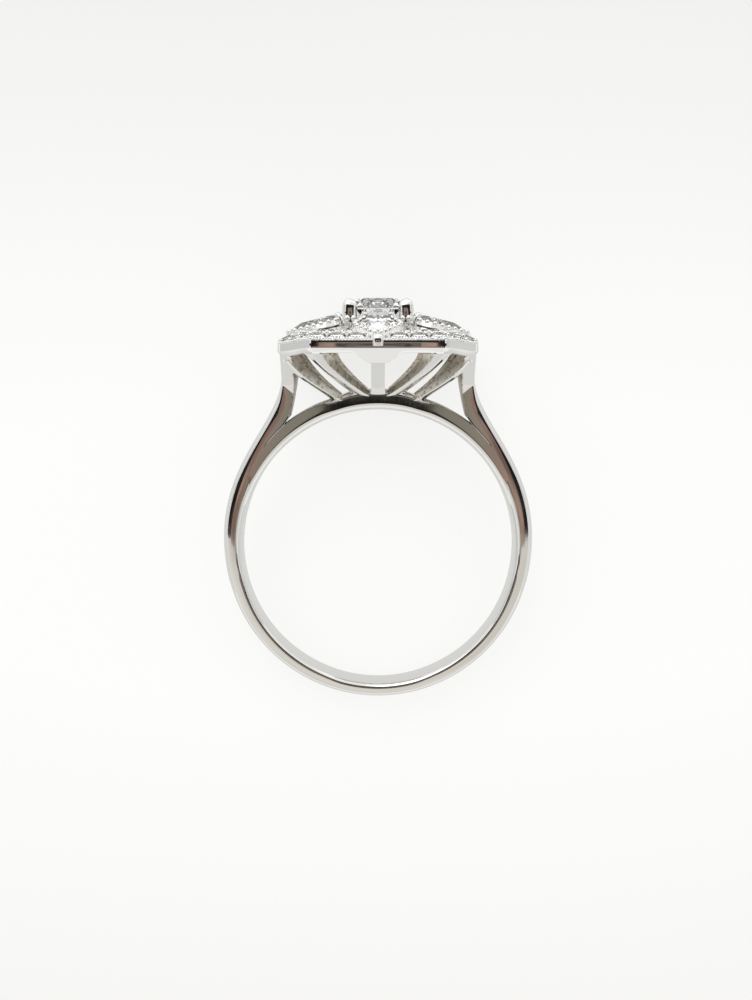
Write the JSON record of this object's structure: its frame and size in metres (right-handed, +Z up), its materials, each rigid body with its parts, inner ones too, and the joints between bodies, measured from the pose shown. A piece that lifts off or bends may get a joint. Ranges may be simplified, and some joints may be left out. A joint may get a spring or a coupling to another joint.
{
  "type": "diamond cluster ring",
  "caption": "White metal ring with a raised round centre stone, four pear petals and pave round an eight-sided cluster on an open ribbed gallery, lying on its side.",
  "frame": {"origin": "on the floor under the middle of the ring as it lies on its side", "axes": "+Z up from the floor, +Y from the band towards the cluster, X between the shoulders"},
  "size_m": [0.0188, 0.0242, 0.0117],
  "materials": {
    "white_gold": "mirror polished",
    "diamond": "faceted, clear"
  },
  "bodies": {
    "root": {"ring_mount": "white_gold", "centre_diamond": "diamond", "petal_diamond_1": "diamond", "petal_diamond_2": "diamond", "petal_diamond_3": "diamond", "petal_diamond_4": "diamond", "corner_diamond_1": "diamond", "corner_diamond_2": "diamond", "corner_diamond_3": "diamond", "corner_diamond_4": "diamond", "pave_diamonds": "diamond"}
  },
  "joints": []
}
